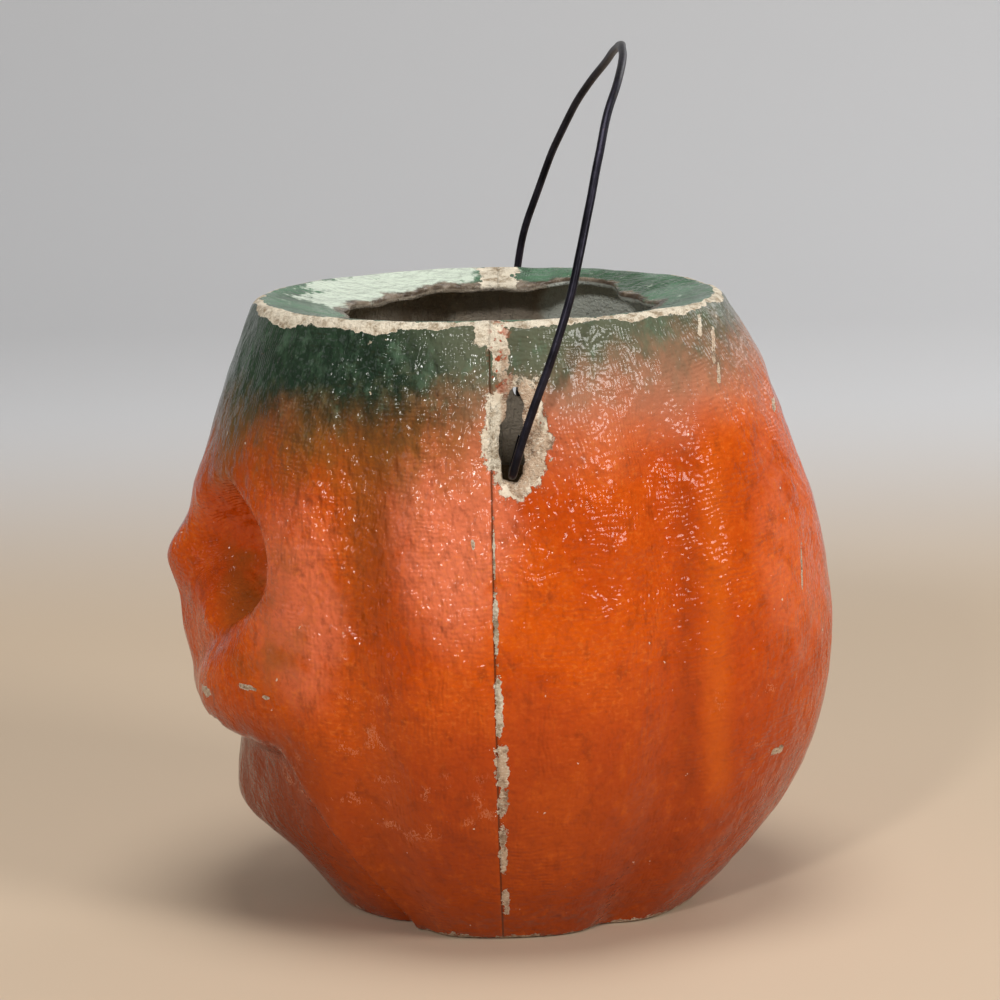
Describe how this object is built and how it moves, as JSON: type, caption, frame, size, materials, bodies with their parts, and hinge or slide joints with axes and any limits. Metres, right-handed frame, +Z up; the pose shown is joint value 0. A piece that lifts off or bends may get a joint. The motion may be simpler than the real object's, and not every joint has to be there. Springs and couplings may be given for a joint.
{
  "type": "jack-o-lantern bucket",
  "caption": "Old papier-mache jack-o'-lantern bucket with a moulded pumpkin face, turned-in rim, candle cup and swinging wire bail.",
  "frame": {"origin": "middle of the foot on the surface it stands on, under the middle of the bounding box", "axes": "+Z up, the face looks along -Y, +X is the lantern's left side with the torn bail hole"},
  "size_m": [0.1306, 0.1465, 0.189],
  "materials": {
    "painted_pulp": "glossy orange paint over moulded paper pulp, green round the rim, worn to bare pulp at edges",
    "kraft_paper": "matt brown gummed paper",
    "yellow_paper": "thin matt coloured paper",
    "grey_board": "matt board",
    "tin": "dull tin plate",
    "brass": "tarnished brass",
    "dark_wire": "dark annealed iron wire, satin"
  },
  "bodies": {
    "lantern": {"front_shell": "painted_pulp", "rear_shell": "painted_pulp", "left_seam_tape": "kraft_paper", "right_seam_tape": "kraft_paper", "left_eye_paper": "yellow_paper", "right_eye_paper": "yellow_paper", "mouth_paper": "yellow_paper", "floor_disc": "grey_board", "candle_cup": "tin", "split_brad": "brass"},
    "handle": {"bail": "dark_wire"}
  },
  "joints": [
    {"name": "bail_swing", "type": "hinge", "parent": "lantern", "child": "handle", "pos_m": [0, 0.0043, 0.1045], "axis": [1, 0, 0], "range_deg": [-104, 110]}
  ]
}
